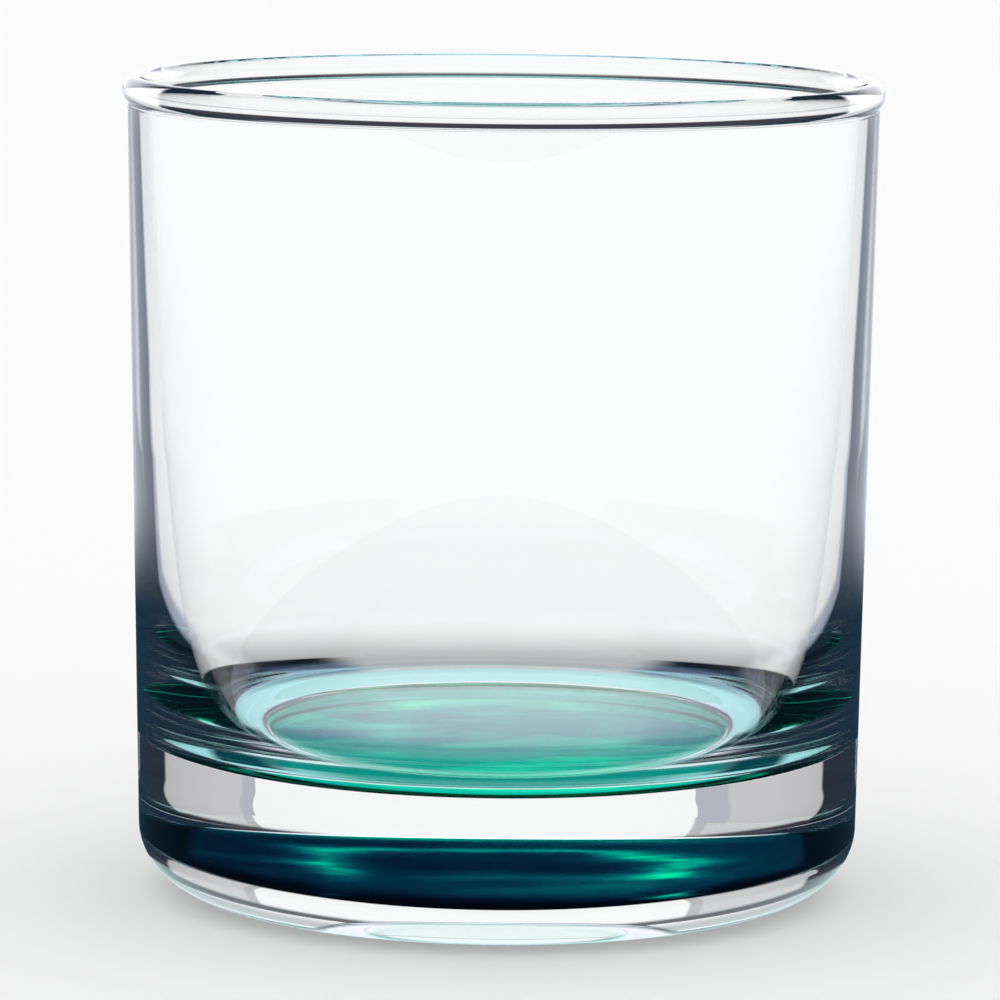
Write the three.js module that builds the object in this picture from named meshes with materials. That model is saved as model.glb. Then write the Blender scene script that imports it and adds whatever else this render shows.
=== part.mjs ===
// Lowball whisky tumbler: a clear pressed-glass body with a heavy base, and a green lacquer film
// that colours the recess under the base. Millimetres, +Z up, origin at the middle of the foot.
import * as THREE from 'three';

// Body, outside
const HEIGHT = 88.5;
const RIM_DIAMETER = 82.0; // over the rim bead
const RIM_BEAD_OVERHANG = 0.55; // how far the bead stands out of the wall under it
const WALL_TAPER = 1.3; // how much the wall's radius shrinks from the bead down to the heel
const HEEL_WIDTH = 8.4; // elliptic rounding from the wall down to the foot
const HEEL_HEIGHT = 7.4;
const FOOT_RING_WIDTH = 1.15; // flat ring that the glass stands on

// Recess under the base
const RECESS_DEPTH = 4.8;
const RECESS_SIDE_RUN = 1.2; // width of its steep side

// Rim
const RIM_BEAD_HEIGHT = 3.0;
const RIM_BEAD_SWELL = 0.15; // how far the bead stands inside the inner wall
const NECK_ANGLE = Math.PI / 3; // how far round the bead goes under its widest point
const NECK_DROP = 0.45; // from the bead's end down to the top of the wall

// Cavity
const WALL_AT_RIM = 2.0;
const WALL_ABOVE_CORNER = 3.1; // the wall thickens towards the base
const CAVITY_FLOOR_HEIGHT = 15.5; // above the foot
const CORNER_WIDTH = 10.5; // the long round corner between wall and floor
const CORNER_HEIGHT = 34.0;
const CORNER_LEAN = 2.0; // the curve leaves the wall along a line this far in
const CORNER_DROP = 27.5; // and this far down,
const CORNER_REACH = 7.2; // and meets the floor along a line this long

// Lacquer film
const FILM_THICKNESS = 0.2;
const FILM_MARGIN = 0.5; // bare roof left between the film and the recess's side
const FILM_FEATHER_RUN = 0.6; // width over which the film thins to nothing

// Facets
const TURN_STEPS = 64;
const HEEL_STEPS = 8;
const BEAD_STEPS = 4; // from the neck to the widest point, to the top, and down to the mouth
const CORNER_STEPS = 14;
const RECESS_STEPS = 8;

const rimRadius = RIM_DIAMETER / 2;
const neckRadius = rimRadius - RIM_BEAD_OVERHANG;
const heelRadius = neckRadius - WALL_TAPER;
const footOuterRadius = heelRadius - HEEL_WIDTH;
const footInnerRadius = footOuterRadius - FOOT_RING_WIDTH;
const recessRoofRadius = footInnerRadius - RECESS_SIDE_RUN;

// Points of an elliptic arc, from one angle to another, both included.
function arc(centreR, centreZ, radiusR, radiusZ, from, to, steps) {
  const points = [];
  for (let i = 0; i <= steps; i++) {
    const angle = from + ((to - from) * i) / steps;
    points.push(new THREE.Vector2(centreR + radiusR * Math.cos(angle), centreZ + radiusZ * Math.sin(angle)));
  }
  return points;
}

// The recess from its middle out to the foot ring: a flat roof, then half a cosine wave down to the foot.
function recessProfile() {
  const points = [new THREE.Vector2(0, RECESS_DEPTH)];
  for (let i = 0; i <= RECESS_STEPS; i++) {
    const share = i / RECESS_STEPS;
    const height = (RECESS_DEPTH * (1 + Math.cos(Math.PI * share))) / 2;
    points.push(new THREE.Vector2(recessRoofRadius + share * RECESS_SIDE_RUN, height));
  }
  return points;
}

// Heel, wall and the outer half of the bead, from the foot up; then over the rim and down to the cavity floor.
function wallProfile() {
  const heel = arc(footOuterRadius, HEEL_HEIGHT, HEEL_WIDTH, HEEL_HEIGHT, -Math.PI / 2, 0, HEEL_STEPS);

  const innerRimRadius = neckRadius - WALL_AT_RIM;
  const beadHalfWidth = (rimRadius - innerRimRadius + RIM_BEAD_SWELL) / 2;
  const beadCentre = rimRadius - beadHalfWidth;
  const beadHalfHeight = RIM_BEAD_HEIGHT / 2;
  const mouthAngle = Math.PI + Math.acos((beadCentre - innerRimRadius) / beadHalfWidth);
  const beadArc = (from, to) =>
    arc(beadCentre, HEIGHT - beadHalfHeight, beadHalfWidth, beadHalfHeight, from, to, BEAD_STEPS);
  const bead = [
    ...beadArc(-NECK_ANGLE, 0).slice(0, -1),
    ...beadArc(0, Math.PI / 2).slice(0, -1),
    ...beadArc(Math.PI / 2, mouthAngle),
  ];
  const neck = new THREE.Vector2(neckRadius, bead[0].y - NECK_DROP);

  const cornerTop = CAVITY_FLOOR_HEIGHT + CORNER_HEIGHT;
  const climb = (cornerTop - HEEL_HEIGHT) / (neck.y - HEEL_HEIGHT);
  const cornerRadius = heelRadius + WALL_TAPER * climb - WALL_ABOVE_CORNER;
  const floorRadius = cornerRadius - CORNER_WIDTH;
  const corner = new THREE.CubicBezierCurve(
    new THREE.Vector2(cornerRadius, cornerTop),
    new THREE.Vector2(cornerRadius - CORNER_LEAN, cornerTop - CORNER_DROP),
    new THREE.Vector2(floorRadius + CORNER_REACH, CAVITY_FLOOR_HEIGHT),
    new THREE.Vector2(floorRadius, CAVITY_FLOOR_HEIGHT),
  ).getPoints(CORNER_STEPS);

  return [...heel, neck, ...bead, ...corner, new THREE.Vector2(0, CAVITY_FLOOR_HEIGHT)];
}

// The film on the recess's roof: its free face from the middle out, a feathered edge, and the face on the glass.
function filmProfile() {
  const filmRadius = recessRoofRadius - FILM_MARGIN;
  const freeHeight = RECESS_DEPTH - FILM_THICKNESS;
  return [
    new THREE.Vector2(0, freeHeight),
    new THREE.Vector2(filmRadius - FILM_FEATHER_RUN, freeHeight),
    new THREE.Vector2(filmRadius, RECESS_DEPTH),
    new THREE.Vector2(0, RECESS_DEPTH),
  ];
}

// Turns a closed profile about the Z axis.
function turned(name, profile, material) {
  const geometry = new THREE.LatheGeometry(profile, TURN_STEPS);
  geometry.rotateX(Math.PI / 2);
  const mesh = new THREE.Mesh(geometry, material);
  mesh.name = name;
  return mesh;
}

const clearGlass = new THREE.MeshStandardMaterial({
  color: 0xeef5f6, roughness: 0.03, metalness: 0, transparent: true, opacity: 0.35,
});
const greenLacquer = new THREE.MeshStandardMaterial({
  color: 0x00a381, roughness: 0.12, metalness: 0, transparent: true, opacity: 0.8,
});

const group = new THREE.Group();
group.add(turned('tumbler_body', [...recessProfile(), ...wallProfile()], clearGlass));
group.add(turned('green_base_film', filmProfile(), greenLacquer));

export default group;
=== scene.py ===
# A lowball whisky tumbler in clear pressed glass, with a green lacquer film in the recess under its base.
# Metres, +Z up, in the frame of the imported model: the origin is the middle of the foot.
import math

import bpy
import numpy as np
from mathutils import Matrix, Vector


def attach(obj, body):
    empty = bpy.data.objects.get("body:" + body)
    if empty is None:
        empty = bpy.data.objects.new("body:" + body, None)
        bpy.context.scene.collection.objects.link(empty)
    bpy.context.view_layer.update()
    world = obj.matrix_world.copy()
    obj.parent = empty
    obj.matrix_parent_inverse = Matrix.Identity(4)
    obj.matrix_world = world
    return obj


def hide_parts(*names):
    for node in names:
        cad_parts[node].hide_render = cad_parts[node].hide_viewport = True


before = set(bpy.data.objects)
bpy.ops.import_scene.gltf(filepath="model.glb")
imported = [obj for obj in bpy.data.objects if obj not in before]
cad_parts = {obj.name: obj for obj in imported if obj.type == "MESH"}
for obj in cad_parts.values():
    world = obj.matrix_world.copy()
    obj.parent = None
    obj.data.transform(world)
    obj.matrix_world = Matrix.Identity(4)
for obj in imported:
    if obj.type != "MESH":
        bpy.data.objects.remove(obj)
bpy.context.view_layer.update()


# Tumbler body
# One piece of soda-lime glass, pressed in a mould and fire-polished: a wall that thickens downwards, a bead
# at the rim, a heavy base with a long round corner inside, and a recess under it within a narrow foot ring.
MM = 0.001
HEIGHT = 88.5 * MM
RIM_RADIUS = 41.0 * MM  # over the bead
BEAD_OVERHANG = 0.55 * MM  # how far the bead stands out of the wall under it
BEAD_SWELL = 0.15 * MM  # how far it stands inside the inner wall
BEAD_HEIGHT = 3.0 * MM
BEAD_NECK_ANGLE = math.radians(-60)  # where the bead ends, under its widest point
NECK_DROP = 0.45 * MM  # from there down to the top of the wall
WALL_TAPER = 1.3 * MM  # how much the wall's radius shrinks from the neck down to the heel
WALL_AT_RIM = 2.0 * MM
WALL_ABOVE_CORNER = 3.1 * MM
HEEL_WIDTH = 8.4 * MM
HEEL_HEIGHT = 7.4 * MM
FOOT_RING_WIDTH = 1.15 * MM
RECESS_DEPTH = 4.8 * MM
RECESS_SIDE_RUN = 1.2 * MM
CAVITY_FLOOR_HEIGHT = 15.5 * MM  # above the foot
CORNER_WIDTH = 10.5 * MM
CORNER_HEIGHT = 34.0 * MM
CORNER_LEAN = 2.0 * MM  # the corner's curve leaves the wall along a line this far in
CORNER_DROP = 27.5 * MM  # and this far down,
CORNER_REACH = 7.2 * MM  # and meets the cavity floor along a line this long
FILM_THICKNESS = 0.2 * MM  # of the lacquer, which the glass mesh takes in

TURN_STEPS = 240
ROOF_STEPS = 13
RECESS_SIDE_STEPS = 24
HEEL_STEPS = 30
OUTER_WALL_STEPS = 30
OUTER_WALL_CROWD = 2.2  # crowds the points towards the neck
BEAD_STEPS = 44
INNER_WALL_STEPS = 24
INNER_WALL_CROWD = 2.6  # crowds the points towards the bead
CORNER_STEPS = 80
CAVITY_FLOOR_STEPS = 16

GLASS_IOR = 1.52
CORD_SCALE = 55  # faint cords of uneven melt, per metre
CORD_DETAIL = 2
CORD_TINTS = ((0.0, (0.990, 1.0, 0.998)), (1.0, (1.0, 1.0, 1.0)))

neck_radius = RIM_RADIUS - BEAD_OVERHANG
heel_radius = neck_radius - WALL_TAPER
foot_outer_radius = heel_radius - HEEL_WIDTH
foot_inner_radius = foot_outer_radius - FOOT_RING_WIDTH
recess_radius = foot_inner_radius - RECESS_SIDE_RUN


def arc(centre, radii, start, stop, steps):
    """Elliptic arc as (radius, height): centre + radii * (cos a, sin a), with a even from start to stop."""
    angle = np.linspace(start, stop, steps + 1)
    return np.column_stack([centre[0] + radii[0] * np.cos(angle), centre[1] + radii[1] * np.sin(angle)])


def straight(start, stop, steps, crowd=1.0):
    """Points on the line from start to stop in the (radius, height) plane, at shares (i / steps) ^ crowd."""
    share = (np.linspace(0, 1, steps + 1) ** crowd)[:, None]
    return np.array(start) * (1 - share) + np.array(stop) * share


def bezier(start, pull, push, stop, steps):
    """Cubic Bezier curve: start (1-t)^3 + 3 pull t (1-t)^2 + 3 push t^2 (1-t) + stop t^3, t from 0 to 1."""
    t = np.linspace(0, 1, steps + 1)[:, None]
    start, pull, push, stop = (np.array(point) for point in (start, pull, push, stop))
    return start * (1 - t) ** 3 + 3 * pull * t * (1 - t) ** 2 + 3 * push * t ** 2 * (1 - t) + stop * t ** 3


def recess_height(radius):
    """Height of the film's free face: a flat roof, then half a cosine wave down to the foot ring."""
    share = np.clip((radius - recess_radius) / RECESS_SIDE_RUN, 0, 1)
    return (RECESS_DEPTH - FILM_THICKNESS) * (1 + np.cos(np.pi * share)) / 2


def lattice_faces(rings, steps):
    """Quads between neighbouring rings of a turned grid, and the two fans that close its ends."""
    row, column = np.meshgrid(np.arange(rings - 1), np.arange(steps), indexing="ij")
    following = (column + 1) % steps
    quads = np.stack([
        row * steps + column,
        row * steps + following,
        (row + 1) * steps + following,
        (row + 1) * steps + column,
    ], axis=-1).reshape(-1, 4)
    here = np.arange(steps)
    after = (here + 1) % steps
    last = (rings - 1) * steps
    low = np.stack([np.full(steps, rings * steps), after, here], axis=-1)
    high = np.stack([np.full(steps, rings * steps + 1), last + here, last + after], axis=-1)
    return quads.tolist() + low.tolist() + high.tolist()


def turned(profile, steps):
    """Turns a (radius, height) profile that starts and ends on the axis about Z: (r, z) at turn t becomes
    (r cos t, r sin t, z). The two ends are one vertex each, closed by fans of triangles."""
    turn = np.linspace(0, 2 * np.pi, steps, endpoint=False)
    ring = profile[1:-1]
    grid = np.stack([
        ring[:, :1] * np.cos(turn),
        ring[:, :1] * np.sin(turn),
        np.repeat(ring[:, 1:], steps, axis=1),
    ], axis=-1).reshape(-1, 3)
    ends = np.array([[0, 0, profile[0, 1]], [0, 0, profile[-1, 1]]])
    return np.vstack([grid, ends]), lattice_faces(len(ring), steps)


def make_piece(name, points, faces, material, smooth=True):
    """Makes a mesh object at the origin from points and faces, shaded smooth or flat."""
    mesh = bpy.data.meshes.new(name)
    mesh.from_pydata(points.tolist(), [], faces)
    mesh.polygons.foreach_set("use_smooth", np.full(len(mesh.polygons), smooth))
    mesh.materials.append(material)
    mesh.update()
    piece = bpy.data.objects.new(name, mesh)
    bpy.context.scene.collection.objects.link(piece)
    return piece


def node_ramp(tree, value, stops):
    """Colours by a value from 0 to 1, straight between the stops."""
    node = tree.nodes.new("ShaderNodeValToRGB")
    while len(node.color_ramp.elements) < len(stops):
        node.color_ramp.elements.new(0.5)
    for element, (place, colour) in zip(node.color_ramp.elements, stops):
        element.position = place
        element.color = (*colour, 1)
    tree.links.new(value, node.inputs["Fac"])
    return node.outputs["Color"]


inner_rim_radius = neck_radius - WALL_AT_RIM
bead_half = np.array([(RIM_RADIUS - inner_rim_radius + BEAD_SWELL) / 2, BEAD_HEIGHT / 2])
bead_centre = np.array([RIM_RADIUS, HEIGHT]) - bead_half
mouth_angle = math.pi + math.acos((bead_centre[0] - inner_rim_radius) / bead_half[0])
bead = arc(bead_centre, bead_half, BEAD_NECK_ANGLE, mouth_angle, BEAD_STEPS)
neck = np.array([neck_radius, bead[0, 1] - NECK_DROP])
heel = arc((foot_outer_radius, HEEL_HEIGHT), (HEEL_WIDTH, HEEL_HEIGHT), -math.pi / 2, 0, HEEL_STEPS)

corner_top = CAVITY_FLOOR_HEIGHT + CORNER_HEIGHT
climb = (corner_top - HEEL_HEIGHT) / (neck[1] - HEEL_HEIGHT)
corner_radius = heel_radius + WALL_TAPER * climb - WALL_ABOVE_CORNER
cavity_floor_radius = corner_radius - CORNER_WIDTH
corner = bezier(
    (corner_radius, corner_top),
    (corner_radius - CORNER_LEAN, corner_top - CORNER_DROP),
    (cavity_floor_radius + CORNER_REACH, CAVITY_FLOOR_HEIGHT),
    (cavity_floor_radius, CAVITY_FLOOR_HEIGHT),
    CORNER_STEPS,
)

recess_r = np.concatenate([
    np.linspace(0, recess_radius, ROOF_STEPS + 1)[:-1],
    np.linspace(recess_radius, foot_inner_radius, RECESS_SIDE_STEPS + 1),
])
body_profile = np.vstack([
    np.column_stack([recess_r, recess_height(recess_r)]),
    heel,
    straight(neck, heel[-1], OUTER_WALL_STEPS, OUTER_WALL_CROWD)[::-1][1:],
    bead,
    straight(bead[-1], corner[0], INNER_WALL_STEPS, INNER_WALL_CROWD)[1:-1],
    corner,
    straight(corner[-1], (0, CAVITY_FLOOR_HEIGHT), CAVITY_FLOOR_STEPS)[1:],
])

clear_glass = bpy.data.materials.new("clear_glass")
clear_glass.use_nodes = True
tree = clear_glass.node_tree
glass_place = tree.nodes.new("ShaderNodeTexCoord")
glass_cords = tree.nodes.new("ShaderNodeTexNoise")
glass_cords.inputs["Scale"].default_value = CORD_SCALE
glass_cords.inputs["Detail"].default_value = CORD_DETAIL
tree.links.new(glass_place.outputs["Object"], glass_cords.inputs["Vector"])
glass_shader = tree.nodes["Principled BSDF"]
tree.links.new(node_ramp(tree, glass_cords.outputs["Fac"], CORD_TINTS), glass_shader.inputs["Base Color"])
glass_shader.inputs["Roughness"].default_value = 0
glass_shader.inputs["IOR"].default_value = GLASS_IOR
glass_shader.inputs["Transmission Weight"].default_value = 1

body = make_piece("tumbler_glass", *turned(body_profile, TURN_STEPS), clear_glass)
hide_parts("tumbler_body")
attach(body, "root")


# Green base film
# Translucent emerald lacquer brushed on the roof of the recess: a thick pool in the middle, thin feathery
# strokes round it and a thin edge. It wets the glass, so its mesh lies just inside the glass's own, and light
# enters it unbent.
FILM_GAP = 0.004 * MM  # between its free face and the glass mesh's
FILM_MARGIN = 0.9 * MM  # bare roof round it
FILM_FEATHER_RUN = 0.6 * MM
FILM_RINGS = 110
FILM_TURNS = 300

# The coat, in shares of the full thickness. Bearings are radians from straight behind.
COAT = 1.12
LEAST_COAT = 0.1
FRONT_LOSS = 0.30
FRONT_BEARING = (1.6, 2.9)
RIGHT_LOSS = 0.26
RIGHT_SHARE = (0.05, 0.7)  # of the way to the right
RIGHT_RADIUS = (6 * MM, 11 * MM)
EDGE_LOSS = 0.5
EDGE_RADIUS = (22.5 * MM, 26.5 * MM)
EDGE_BEARING = (1.7, 2.5)

# The horseshoe of strokes, an oval open to the front, and the lip at the back.
HORSESHOE_RADIUS = 15.0 * MM
HORSESHOE_STRETCH = 2.2 * MM
HORSESHOE_OPENING = (1.9, 2.6)
HORSESHOE_WANDER = 0.7 * MM
STROKE_SPREAD = 2.6 * MM
STROKE_FRAY = (0.5 * MM, 0.4 * MM)
LIP_RADIUS = (22.5 * MM, 25.0 * MM)
LIP_BEARING = (0.25, 0.65)
STROKE_LOSS = 0.78
STROKE_DEPTH = 0.14
BRUSH_MARKS = 0.03
STROKE_PITCH = 0.55 * MM
FINE_STROKE_PITCH = 0.31 * MM
FINE_STROKE_SHARE = 0.8

FILM_TINTS = ((0.46, (0.02, 0.62, 0.44)), (0.60, (0.03, 0.97, 0.58)))
TINT_STRETCH = (42, 130, 1)  # streaks that run from side to side, per metre
TINT_DETAIL = 3
TINT_DISTORTION = 0.9
LACQUER_COLOUR = (0.0, 0.865, 0.918, 1)
LACQUER_DENSITY = 8600


def smooth_step(low, high, value):
    """Rises from 0 at low to 1 at high as 3 s^2 - 2 s^3."""
    share = np.clip((value - low) / (high - low), 0, 1)
    return share * share * (3 - 2 * share)


def brush_strokes(radius, turn):
    """Two sets of weaving rings, a coarse and a fine one, brought to about -1 to 1: sines of the radius over
    their pitch, each shifted by sines of the turn."""
    coarse = np.sin(radius / STROKE_PITCH + 3 * np.sin(turn + 0.4) + 2 * np.sin(4 * turn))
    fine = np.sin(radius / FINE_STROKE_PITCH - 5 * np.sin(2 * turn + 1.3) + 3 * np.sin(7 * turn))
    return (coarse + FINE_STROKE_SHARE * fine) / (1 + FINE_STROKE_SHARE)


def brushed_thickness(radius, turn):
    """Share of the full film thickness: a coat that thins towards the front and the right, less a horseshoe
    of thin strokes (a bell curve across a wandering oval, open to the front) or a thin lip at the back, with
    brush marks all over."""
    bearing = np.abs(np.arctan2(np.cos(turn), np.sin(turn)))
    front = smooth_step(*FRONT_BEARING, bearing)
    right = smooth_step(*RIGHT_SHARE, np.cos(turn)) * smooth_step(*RIGHT_RADIUS, radius)
    edge = smooth_step(*EDGE_RADIUS, radius) * smooth_step(*EDGE_BEARING, bearing)
    coat = COAT - FRONT_LOSS * front - RIGHT_LOSS * right - EDGE_LOSS * edge
    oval = HORSESHOE_RADIUS + HORSESHOE_STRETCH * np.cos(2 * bearing)
    wander = HORSESHOE_WANDER * (np.sin(3 * turn - 1.1) + np.sin(7 * turn + 2.0))
    spread = STROKE_SPREAD + STROKE_FRAY[0] * np.sin(9 * turn) + STROKE_FRAY[1] * np.sin(23 * turn + 1.0)
    closed = 1 - smooth_step(*HORSESHOE_OPENING, bearing)
    horseshoe = np.exp(-((radius - oval + wander) / spread) ** 2) * closed
    lip = smooth_step(*LIP_RADIUS, radius) * (1 - smooth_step(*LIP_BEARING, bearing))
    strokes = brush_strokes(radius, turn)
    thinned = (STROKE_LOSS + STROKE_DEPTH * strokes) * np.maximum(horseshoe, lip)
    return np.maximum(coat - thinned + BRUSH_MARKS * strokes, LEAST_COAT)


def film_surface(rings, turns):
    """The film as a turned grid. Its free face runs from the middle out, a gap above the glass mesh's. Its
    face on the glass runs back to the middle, higher by the brushed thickness, which feathers out to 0."""
    outer = recess_radius - FILM_MARGIN
    radius, turn = np.meshgrid(
        np.linspace(0, outer, rings)[1:], np.linspace(0, 2 * np.pi, turns, endpoint=False), indexing="ij")
    feather = np.clip((outer - radius) / FILM_FEATHER_RUN, 0, 1)
    depth = FILM_THICKNESS * brushed_thickness(radius, turn) * feather
    low = recess_height(radius) + FILM_GAP
    free_face = np.stack([radius * np.cos(turn), radius * np.sin(turn), low], axis=-1)
    glass_face = np.stack([radius * np.cos(turn), radius * np.sin(turn), low + depth], axis=-1)
    grid = np.vstack([free_face, glass_face[:-1][::-1]])
    ends = np.array([[0, 0, low[0, 0]], [0, 0, low[0, 0] + depth[0].mean()]])
    return np.vstack([grid.reshape(-1, 3), ends]), lattice_faces(len(grid), turns)


green_film = bpy.data.materials.new("green_film")
green_film.use_nodes = True
tree = green_film.node_tree
film_place = tree.nodes.new("ShaderNodeTexCoord")
film_stretch = tree.nodes.new("ShaderNodeMapping")
film_stretch.inputs["Scale"].default_value = TINT_STRETCH
tree.links.new(film_place.outputs["Object"], film_stretch.inputs["Vector"])
film_streaks = tree.nodes.new("ShaderNodeTexNoise")
film_streaks.inputs["Scale"].default_value = 1.0
film_streaks.inputs["Detail"].default_value = TINT_DETAIL
film_streaks.inputs["Distortion"].default_value = TINT_DISTORTION
tree.links.new(film_stretch.outputs["Vector"], film_streaks.inputs["Vector"])
film_shader = tree.nodes["Principled BSDF"]
tree.links.new(node_ramp(tree, film_streaks.outputs["Fac"], FILM_TINTS), film_shader.inputs["Base Color"])
film_shader.inputs["Roughness"].default_value = 0
film_shader.inputs["IOR"].default_value = 1.0
film_shader.inputs["Transmission Weight"].default_value = 1
lacquer = tree.nodes.new("ShaderNodeVolumeAbsorption")
lacquer.inputs["Color"].default_value = LACQUER_COLOUR
lacquer.inputs["Density"].default_value = LACQUER_DENSITY
tree.links.new(lacquer.outputs["Volume"], tree.nodes["Material Output"].inputs["Volume"])

film = make_piece("green_lacquer", *film_surface(FILM_RINGS, FILM_TURNS), green_film)
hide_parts("green_base_film")
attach(film, "root")


# Floor
# A plain pale table top, matt and evenly lit. Seen through the glass it glows instead with painted light and
# shade like that round a glass on a bright table: painted mint light under the base, a painted black crescent
# of shade close beside it, a painted soft shadow behind it, painted dark stretches further out on both sides,
# and a painted reflection on the outside of the glass.
FLOOR_RADIUS = 4.0
FLOOR_DEPTH = 0.02
FLOOR_TOP = -0.0001
FLOOR_STEPS = 64
TABLE_COLOUR = (0.93, 0.93, 0.93, 1)
TABLE_ROUGHNESS = 0.9
WHITE = (1, 1, 1, 1)
BLACK = (0, 0, 0, 1)
WALL_CROSSINGS = 2  # faces that a ray crosses in the wall or the base when it misses the cavity

# Under the base, painted light and shade: mint light as if tinted by the green base, blue-grey shade under
# the back of the film, dark teal shade under the front of the heel and near-black shade at its front sides. A
# pair here and below says where a zone's share is 0 and where it is 1: a reach from the axis or a place from
# front to back, in metres, or a bearing from straight behind, in degrees.
UNDER_REACH = 0.040  # the ramps run from this far in front to this far behind
UNDER_FILM = (
    (0.00, (0.60, 0.90, 0.90)), (0.46, (0.70, 0.95, 0.95)),
    (0.58, (0.34, 0.41, 0.66)), (1.00, (0.34, 0.41, 0.66)),
)
UNDER_HEEL = (
    (0.00, (0.02, 0.33, 0.27)), (0.16, (0.04, 0.38, 0.32)),
    (0.30, (0.40, 0.84, 0.86)), (1.00, (0.42, 0.86, 0.88)),
)
FILM_TO_HEEL = (0.0285, 0.0300)
SHADE_UNDER_HEEL_FRONT = (0.004, 0.30, 0.25, 1)
HEEL_FRONT_REACH = (0.0345, 0.0352)
HEEL_FRONT_PLACE = (-0.012, -0.020)
SHADE_UNDER_HEEL_SIDE = (0.0, 0.06, 0.075, 1)
HEEL_SIDE_REACH = (0.0315, 0.0325)
HEEL_SIDE_BACK = (0.000, -0.005)
HEEL_SIDE_FRONT = (-0.022, -0.014)
HEEL_TO_TABLE = (0.039, 0.043)

# Beside and behind the glass: a painted soft shadow behind it, a painted crescent of shade close beside it
# and painted dark stretches further out.
SHADOW_REACH = (0.085, 0.043)
SHADOW_BEARING = (48, 40)
SHADOW_STRENGTH = 0.55
# A painted crescent of shade beside the glass.
CRESCENT_BLACK = (0.004, 0.005, 0.008, 1)
CRESCENT_LILAC = (0.045, 0.068, 0.120, 1)
CRESCENT_TONE = (0.0490, 0.0460)
CRESCENT_BACK = (20, 28)
CRESCENT_FRONT = (110, 100)
CRESCENT_REACH = (0.0534, 0.0518)
CRESCENT_MIRRORED_TURN = 28.0  # a mirrored crescent goes this much further round
CRESCENT_MIRRORED_GROWTH = 0.022  # and is this much wider

# The dark stretches, painted shade that rays mirrored inside the wall see. Their inner border is a bearing
# that draws in far away. Their tones follow a line that leans by a slope, bends near the glass and bends
# again far away.
STRETCH_BEARING = (21, 27)
STRETCH_FRONT = (150, 130)
STRETCH_REACH = (0.75, 0.55)
STRETCH_DRAWS_IN_FROM = 0.28
STRETCH_DRAW = 26.0  # degrees per metre
TONE_SLOPE = 0.6
TONE_NEAR = 0.076
TONE_NEAR_BEND = 0.55
TONE_FAR = 0.26
TONE_FAR_BEND = 0.226
TONES_PER_METRE = 10.0
TONE_START = 0.2
STRETCH_TONES = (
    (0.00, (0.030, 0.040, 0.070)), (0.50, (0.012, 0.022, 0.040)), (0.54, (0.42, 0.47, 0.58)),
    (0.60, (0.50, 0.54, 0.64)), (0.65, (1, 1, 1)), (1.00, (1, 1, 1)),
)
DARK = (0.010, 0.022, 0.040, 1)
TWICE_MIRRORED_REACH = (0.36, 0.26)

# Painted reflection: what the outside of the glass mirrors, mint under the heel, dark near the glass and pale
# further out.
MIRRORED_HEEL = (0.72, 0.95, 0.95, 1)
MIRRORED_NEAR = (0.018, 0.05, 0.085, 1)
MIRRORED_FAR = (0.80, 0.86, 0.97, 1)
MIRRORED_HEEL_REACH = (0.0405, 0.0420)
MIRRORED_FAR_REACH = (0.20, 0.32)


def node_math(tree, operation, *values):
    """A Math node on sockets or numbers; gives its output."""
    node = tree.nodes.new("ShaderNodeMath")
    node.operation = operation
    for slot, value in zip(node.inputs, values):
        if isinstance(value, (int, float)):
            slot.default_value = value
        else:
            tree.links.new(value, slot)
    return node.outputs[0]


def node_product(tree, *values):
    """Product of two or more sockets or numbers."""
    product = values[0]
    for value in values[1:]:
        product = node_math(tree, "MULTIPLY", product, value)
    return product


def node_past(tree, value, start):
    """How far a socket or number is past start, a socket or number too, and 0 before it."""
    return node_math(tree, "MAXIMUM", node_math(tree, "SUBTRACT", value, start), 0.0)


def node_degrees(tree, angle):
    """An angle socket in degrees."""
    return node_math(tree, "MULTIPLY", angle, 180 / math.pi)


def node_edge(tree, value, zero_at, one_at):
    """Smooth step of a value from 0 at zero_at to 1 at one_at, flat beyond; zero_at may be the larger."""
    node = tree.nodes.new("ShaderNodeMapRange")
    node.interpolation_type = "SMOOTHSTEP"
    tree.links.new(value, node.inputs["Value"])
    node.inputs["From Min"].default_value = min(zero_at, one_at)
    node.inputs["From Max"].default_value = max(zero_at, one_at)
    node.inputs["To Min"].default_value = float(zero_at > one_at)
    node.inputs["To Max"].default_value = float(zero_at < one_at)
    return node.outputs["Result"]


def node_mix(tree, factor, first, second, clamp=True):
    """Mixes two colours, each a socket or a value, by a factor socket."""
    node = tree.nodes.new("ShaderNodeMix")
    node.data_type = "RGBA"
    node.clamp_factor = clamp
    tree.links.new(factor, node.inputs["Factor"])
    for slot, value in ((node.inputs["A"], first), (node.inputs["B"], second)):
        if isinstance(value, tuple):
            slot.default_value = value
        else:
            tree.links.new(value, slot)
    return node.outputs["Result"]


def node_more_than(tree, depth, count):
    """1 where a ray's depth is more than a whole count, else 0."""
    return node_math(tree, "GREATER_THAN", depth, count + 0.5)


def node_at_most(tree, depth, count):
    """1 where a ray's depth is a whole count at most, else 0."""
    return node_math(tree, "LESS_THAN", depth, count + 0.5)


pale_table = bpy.data.materials.new("pale_table")
pale_table.use_nodes = True
tree = pale_table.node_tree
table_rays = tree.nodes.new("ShaderNodeLightPath").outputs
mirrored = node_more_than(tree, table_rays["Glossy Depth"], 0)
in_wall = node_at_most(tree, table_rays["Transmission Depth"], WALL_CROSSINGS)

table_place = tree.nodes.new("ShaderNodeTexCoord")
table_split = tree.nodes.new("ShaderNodeSeparateXYZ")
tree.links.new(table_place.outputs["Object"], table_split.inputs["Vector"])
table_x = node_math(tree, "ABSOLUTE", table_split.outputs["X"])
table_y = table_split.outputs["Y"]
table_reach = node_math(tree, "SQRT", node_math(
    tree, "ADD", node_product(tree, table_x, table_x), node_product(tree, table_y, table_y)))
table_bearing = node_degrees(tree, node_math(tree, "ARCTAN2", table_x, table_y))

# Painted light and shade under the base, which only the glass sees.
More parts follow.
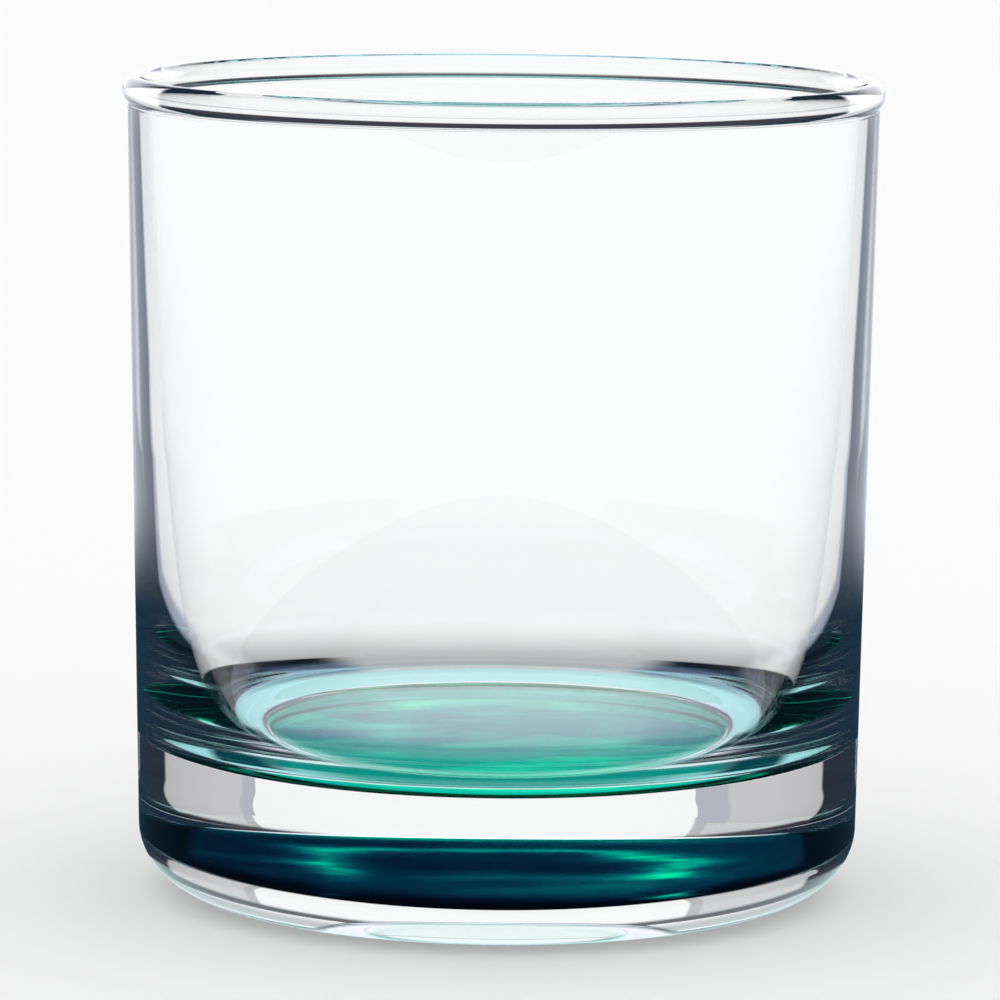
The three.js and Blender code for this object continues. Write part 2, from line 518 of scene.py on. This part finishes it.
table_across = node_math(tree, "MULTIPLY_ADD", table_y, 0.5 / UNDER_REACH, 0.5)
under = node_mix(
    tree, node_edge(tree, table_reach, *FILM_TO_HEEL),
    node_ramp(tree, table_across, UNDER_FILM), node_ramp(tree, table_across, UNDER_HEEL))
heel_front_shade = node_product(
    tree, node_edge(tree, table_reach, *HEEL_FRONT_REACH), node_edge(tree, table_y, *HEEL_FRONT_PLACE))
under = node_mix(tree, heel_front_shade, under, SHADE_UNDER_HEEL_FRONT)
heel_side_shade = node_product(
    tree, node_edge(tree, table_reach, *HEEL_SIDE_REACH),
    node_edge(tree, table_y, *HEEL_SIDE_BACK), node_edge(tree, table_y, *HEEL_SIDE_FRONT))
under = node_mix(tree, heel_side_shade, under, SHADE_UNDER_HEEL_SIDE)

# Painted shadow: the table goes grey behind the glass.
shadow = node_product(
    tree, node_edge(tree, table_reach, *SHADOW_REACH), node_edge(tree, table_bearing, *SHADOW_BEARING),
    SHADOW_STRENGTH)
painted_table_view = node_mix(tree, shadow, WHITE, BLACK)

drawn_in = node_past(tree, table_reach, STRETCH_DRAWS_IN_FROM)
stretch_bearing = node_math(tree, "MULTIPLY_ADD", drawn_in, STRETCH_DRAW, table_bearing)
stretch = node_product(
    tree, mirrored, in_wall, node_edge(tree, stretch_bearing, *STRETCH_BEARING),
    node_edge(tree, table_bearing, *STRETCH_FRONT), node_edge(tree, table_reach, *STRETCH_REACH))
tone = node_math(tree, "MULTIPLY_ADD", table_y, -TONE_SLOPE, table_x)
tone = node_math(tree, "MULTIPLY_ADD", node_past(tree, TONE_NEAR, table_y), -TONE_NEAR_BEND, tone)
tone = node_math(tree, "MULTIPLY_ADD", node_past(tree, table_y, TONE_FAR), TONE_FAR_BEND, tone)
tone = node_math(tree, "MULTIPLY_ADD", tone, TONES_PER_METRE, TONE_START)
painted_table_view = node_mix(tree, stretch, painted_table_view, node_ramp(tree, tone, STRETCH_TONES))

# Painted dark for rays mirrored more than once near the glass, or more than twice inside the wall.
twice_mirrored = node_product(
    tree, node_more_than(tree, table_rays["Glossy Depth"], 1),
    node_edge(tree, table_reach, *TWICE_MIRRORED_REACH))
kept_in_wall = node_product(tree, in_wall, node_more_than(tree, table_rays["Glossy Depth"], 2))
painted_table_view = node_mix(tree, node_math(tree, "MAXIMUM", twice_mirrored, kept_in_wall), painted_table_view, DARK)

# A painted crescent of shade close beside the glass, lilac at its inner edge and black further out; for
# mirrored rays it lies further round and reaches further out.
crescent_bearing = node_math(tree, "MULTIPLY_ADD", mirrored, -CRESCENT_MIRRORED_TURN, table_bearing)
crescent_reach = node_math(tree, "MULTIPLY_ADD", mirrored, -CRESCENT_MIRRORED_GROWTH, table_reach)
crescent_shade = node_product(
    tree, node_edge(tree, table_bearing, *CRESCENT_BACK), node_edge(tree, crescent_bearing, *CRESCENT_FRONT),
    node_edge(tree, crescent_reach, *CRESCENT_REACH))
crescent_colour = node_mix(tree, node_edge(tree, table_reach, *CRESCENT_TONE), CRESCENT_BLACK, CRESCENT_LILAC)
painted_table_view = node_mix(tree, crescent_shade, painted_table_view, crescent_colour)
painted_table_view = node_mix(tree, node_edge(tree, table_reach, *HEEL_TO_TABLE), under, painted_table_view)

painted_reflection = node_mix(tree, node_edge(tree, table_reach, *MIRRORED_FAR_REACH), MIRRORED_NEAR, MIRRORED_FAR)
painted_reflection = node_mix(tree, node_edge(tree, table_reach, *MIRRORED_HEEL_REACH), MIRRORED_HEEL, painted_reflection)
mirror_ray = node_math(tree, "SUBTRACT", table_rays["Is Glossy Ray"], table_rays["Is Transmission Ray"])
painted_table_view = node_mix(tree, mirror_ray, painted_table_view, painted_reflection)
painted_table_view = node_mix(tree, node_more_than(tree, table_rays["Diffuse Depth"], 0), painted_table_view, WHITE)

table_shader = tree.nodes["Principled BSDF"]
table_shader.inputs["Base Color"].default_value = TABLE_COLOUR
table_shader.inputs["Roughness"].default_value = TABLE_ROUGHNESS
table_shader.inputs["Specular IOR Level"].default_value = 0
# The glass sees the table glow with these painted colours instead of its lit colour.
table_light = tree.nodes.new("ShaderNodeEmission")
tree.links.new(painted_table_view, table_light.inputs["Color"])
table_mix = tree.nodes.new("ShaderNodeMixShader")
by_glass = node_math(tree, "MAXIMUM", table_rays["Is Transmission Ray"], table_rays["Is Glossy Ray"])
tree.links.new(by_glass, table_mix.inputs[0])
tree.links.new(table_shader.outputs["BSDF"], table_mix.inputs[1])
tree.links.new(table_light.outputs["Emission"], table_mix.inputs[2])
tree.links.new(table_mix.outputs["Shader"], tree.nodes["Material Output"].inputs["Surface"])

floor_profile = np.array([
    [0, -FLOOR_DEPTH], [FLOOR_RADIUS, -FLOOR_DEPTH], [FLOOR_RADIUS, FLOOR_TOP], [0, FLOOR_TOP],
])
floor = make_piece("floor", *turned(floor_profile, FLOOR_STEPS), pale_table, smooth=False)


# Side cards
# Two low straight strips of card on edge behind the base, one each side, which only the glass shows: black,
# then grey, then lilac away from it. They glow with these tones instead of being lit, painted light and shade
# that makes the grey panels and dark ends of the base's thick clear band.
CARD_NEAR = (0.0085, 0.0405)  # the near end, to the side and back from the axis
CARD_SPLAY = 0.035  # how far it goes outwards for each metre back
CARD_HEIGHTS = (0.0115, 0.0075)  # near and far
CARD_TONES = ((0.026, 0.025, 0.036, 1), (0.62, 0.61, 0.63, 1), (0.50, 0.50, 0.57, 1))
CARD_TONE_BLEND = 0.0008
CARD_SIDES = (  # name, hand, and how far back black, grey and lilac end
    ("left_card", -1, (0.0500, 0.0708, 0.0790)),
    ("right_card", 1, (0.0482, 0.0656, 0.0688)),
)

for name, hand, (black_end, grey_end, lilac_end) in CARD_SIDES:
    card = bpy.data.materials.new(name)
    card.use_nodes = True
    tree = card.node_tree
    card_place = tree.nodes.new("ShaderNodeTexCoord")
    card_split = tree.nodes.new("ShaderNodeSeparateXYZ")
    tree.links.new(card_place.outputs["Object"], card_split.inputs["Vector"])
    card_y = card_split.outputs["Y"]
    grey = node_edge(tree, card_y, black_end, black_end + CARD_TONE_BLEND)
    lilac = node_edge(tree, card_y, grey_end, grey_end + CARD_TONE_BLEND)
    card_colour = node_mix(tree, lilac, node_mix(tree, grey, CARD_TONES[0], CARD_TONES[1]), CARD_TONES[2])
    # Painted light: the card glows with its tone, whatever light falls on it.
    card_light = tree.nodes.new("ShaderNodeEmission")
    tree.links.new(card_colour, card_light.inputs["Color"])

    card_rays = tree.nodes.new("ShaderNodeLightPath").outputs
    card_back = tree.nodes.new("ShaderNodeNewGeometry").outputs["Backfacing"]
    hidden = node_math(tree, "MAXIMUM", card_back, node_more_than(tree, card_rays["Glossy Depth"], 0))
    past_wall = node_more_than(tree, card_rays["Transmission Depth"], WALL_CROSSINGS)
    hidden = node_math(tree, "MAXIMUM", hidden, past_wall)
    card_mix = tree.nodes.new("ShaderNodeMixShader")
    card_clear = tree.nodes.new("ShaderNodeBsdfTransparent")
    tree.links.new(hidden, card_mix.inputs[0])
    tree.links.new(card_light.outputs["Emission"], card_mix.inputs[1])
    tree.links.new(card_clear.outputs["BSDF"], card_mix.inputs[2])
    tree.links.new(card_mix.outputs["Shader"], tree.nodes["Material Output"].inputs["Surface"])

    near = (hand * CARD_NEAR[0], CARD_NEAR[1])
    far = (hand * (CARD_NEAR[0] + CARD_SPLAY * (lilac_end - CARD_NEAR[1])), lilac_end)
    card_points = np.array([(*near, 0.0), (*far, 0.0), (*far, CARD_HEIGHTS[1]), (*near, CARD_HEIGHTS[0])])
    side_card = make_piece(name, card_points, [(3, 2, 1, 0) if hand > 0 else (0, 1, 2, 3)], card)
    side_card.visible_camera = False
    side_card.visible_diffuse = False
    side_card.visible_shadow = False


# Studio
# Soft light from all round, with no lamps: a white background and an even light on the table. The glass shows
# a white backdrop with a grey stripe and wing each side, an opening over it, a lit panel for mirrored rays, a
# low horizon at the sides and in front, and a white ceiling; the rest is dark.
TABLE_LIGHT = (1.04, 1.04, 1.04, 1)
RIM_DARK = (0.060, 0.050, 0.065, 1)
CORNER_DARK = (0.036, 0.058, 0.100, 1)
PANEL = (0.97, 0.96, 1.08, 1)
FRONT_MINT = (0.16, 0.80, 0.70, 1)

# Rises from the horizon and sides from straight behind, in degrees. A pair gives where a share is 0 and 1.
BACKDROP_TOP = (16.5, 12.5)
BACKDROP_SIDE = (58.0, 55.5)
LEFT_SHIFT = 8.0  # the backdrop's stripe and end are this much nearer the middle on the left
STRIPE_IN = (30.2, 30.8)
STRIPE_OUT = (32.8, 32.2)
STRIPE_SHADE = 0.5
WING_FROM = (32.2, 32.8)
WING_SHADE = 0.36
PANEL_TOP = (25.0, 13.0)
PANEL_SIDE = (50.0, 44.0)
PANEL_LIGHT = 1.75
HORIZON_TOP = (4.0, 2.0)
HORIZON_SIDE = (75.0, 85.0)
OPENING_RISE = (35.0, 40.0)
OPENING_SLOPE = 0.15  # the opening starts higher to the side
CEILING_RISE = (43.0, 52.0)
DARK_RISE = (30.0, 36.0)  # from the dark round the rim to the dark in the corners
MINT_RISE = (35.0, 42.0)
MINT_SIDE = (95.0, 120.0)

world = bpy.data.worlds.new("studio")
bpy.context.scene.world = world
world.use_nodes = True
tree = world.node_tree
studio_place = tree.nodes.new("ShaderNodeTexCoord")
direction = tree.nodes.new("ShaderNodeSeparateXYZ")
tree.links.new(studio_place.outputs["Generated"], direction.inputs["Vector"])
rise = node_degrees(tree, node_math(tree, "ARCSINE", direction.outputs["Z"]))
side = node_degrees(tree, node_math(
    tree, "ARCTAN2", node_math(tree, "ABSOLUTE", direction.outputs["X"]), direction.outputs["Y"]))
on_left = node_math(tree, "LESS_THAN", direction.outputs["X"], 0.0)
back_side = node_math(tree, "MULTIPLY_ADD", on_left, LEFT_SHIFT, side)

studio_rays = tree.nodes.new("ShaderNodeLightPath").outputs
mirrored = node_more_than(tree, studio_rays["Glossy Depth"], 0)
direct = node_math(tree, "SUBTRACT", 1.0, mirrored)
mirrored_inside = node_product(tree, mirrored, studio_rays["Is Transmission Ray"])
outside = node_math(tree, "SUBTRACT", 1.0, mirrored_inside)
mirrored_once = node_at_most(tree, studio_rays["Glossy Depth"], 1)

stripe = node_product(tree, node_edge(tree, back_side, *STRIPE_IN), node_edge(tree, back_side, *STRIPE_OUT))
shade = node_math(tree, "MULTIPLY_ADD", stripe, -STRIPE_SHADE, 1.0)
shade = node_math(tree, "MULTIPLY_ADD", node_edge(tree, back_side, *WING_FROM), -WING_SHADE, shade)
backdrop = node_product(
    tree, direct, shade, node_edge(tree, back_side, *BACKDROP_SIDE), node_edge(tree, rise, *BACKDROP_TOP))
panel = node_product(
    tree, mirrored, node_edge(tree, side, *PANEL_SIDE), PANEL_LIGHT, node_edge(tree, rise, *PANEL_TOP))
horizon = node_product(
    tree, outside, node_edge(tree, rise, *HORIZON_TOP), node_edge(tree, side, *HORIZON_SIDE))
opening_rise = node_math(tree, "MULTIPLY_ADD", side, -OPENING_SLOPE, rise)
opening = node_product(tree, direct, node_edge(tree, opening_rise, *OPENING_RISE))
lit = node_math(tree, "MAXIMUM", node_math(tree, "ADD", backdrop, panel), horizon)
lit = node_product(tree, node_math(tree, "MAXIMUM", lit, opening), mirrored_once)
lit = node_math(tree, "MAXIMUM", lit, node_edge(tree, rise, *CEILING_RISE))

dark_colour = node_mix(tree, node_edge(tree, rise, *DARK_RISE), RIM_DARK, CORNER_DARK)
dark_colour = node_mix(tree, mirrored, dark_colour, DARK)
mint = node_product(tree, node_edge(tree, side, *MINT_SIDE), node_edge(tree, rise, *MINT_RISE))
lit_colour = node_mix(tree, mint, node_mix(tree, mirrored, WHITE, PANEL), FRONT_MINT)
studio_colour = node_mix(tree, lit, dark_colour, lit_colour, clamp=False)
off_table = node_more_than(tree, studio_rays["Diffuse Depth"], 0)
studio_colour = node_mix(tree, off_table, studio_colour, TABLE_LIGHT)
studio_colour = node_mix(tree, studio_rays["Is Camera Ray"], studio_colour, WHITE)
tree.links.new(studio_colour, tree.nodes["Background"].inputs["Color"])


# Camera
# It stands in front of the glass and a little above its rim, with a long lens, held half a degree off level.
# Light crosses many faces of the base before it leaves the glass, so every kind of ray may bounce often.
CAMERA_PLACE = Vector((0, -0.640, 0.1308))
CAMERA_AIM = Vector((0, 0, 0.0425))
CAMERA_ROLL = math.radians(0.55)
PICTURE_PIXELS = 1000
FOCAL_PIXELS = 5944
SENSOR_WIDTH = 36
BOUNCES = 48
SEE_THROUGH_BOUNCES = 96

camera_data = bpy.data.cameras.new("camera")
camera_data.sensor_width = SENSOR_WIDTH
camera_data.lens = SENSOR_WIDTH * FOCAL_PIXELS / PICTURE_PIXELS
camera = bpy.data.objects.new("camera", camera_data)
aimed = (CAMERA_AIM - CAMERA_PLACE).to_track_quat("-Z", "Y").to_matrix().to_4x4()
camera.matrix_world = Matrix.Translation(CAMERA_PLACE) @ aimed @ Matrix.Rotation(CAMERA_ROLL, 4, "Z")

scene = bpy.context.scene
scene.collection.objects.link(camera)
scene.camera = camera
scene.view_settings.view_transform = "Standard"
scene.cycles.max_bounces = BOUNCES
scene.cycles.transmission_bounces = BOUNCES
scene.cycles.glossy_bounces = BOUNCES
scene.cycles.transparent_max_bounces = SEE_THROUGH_BOUNCES
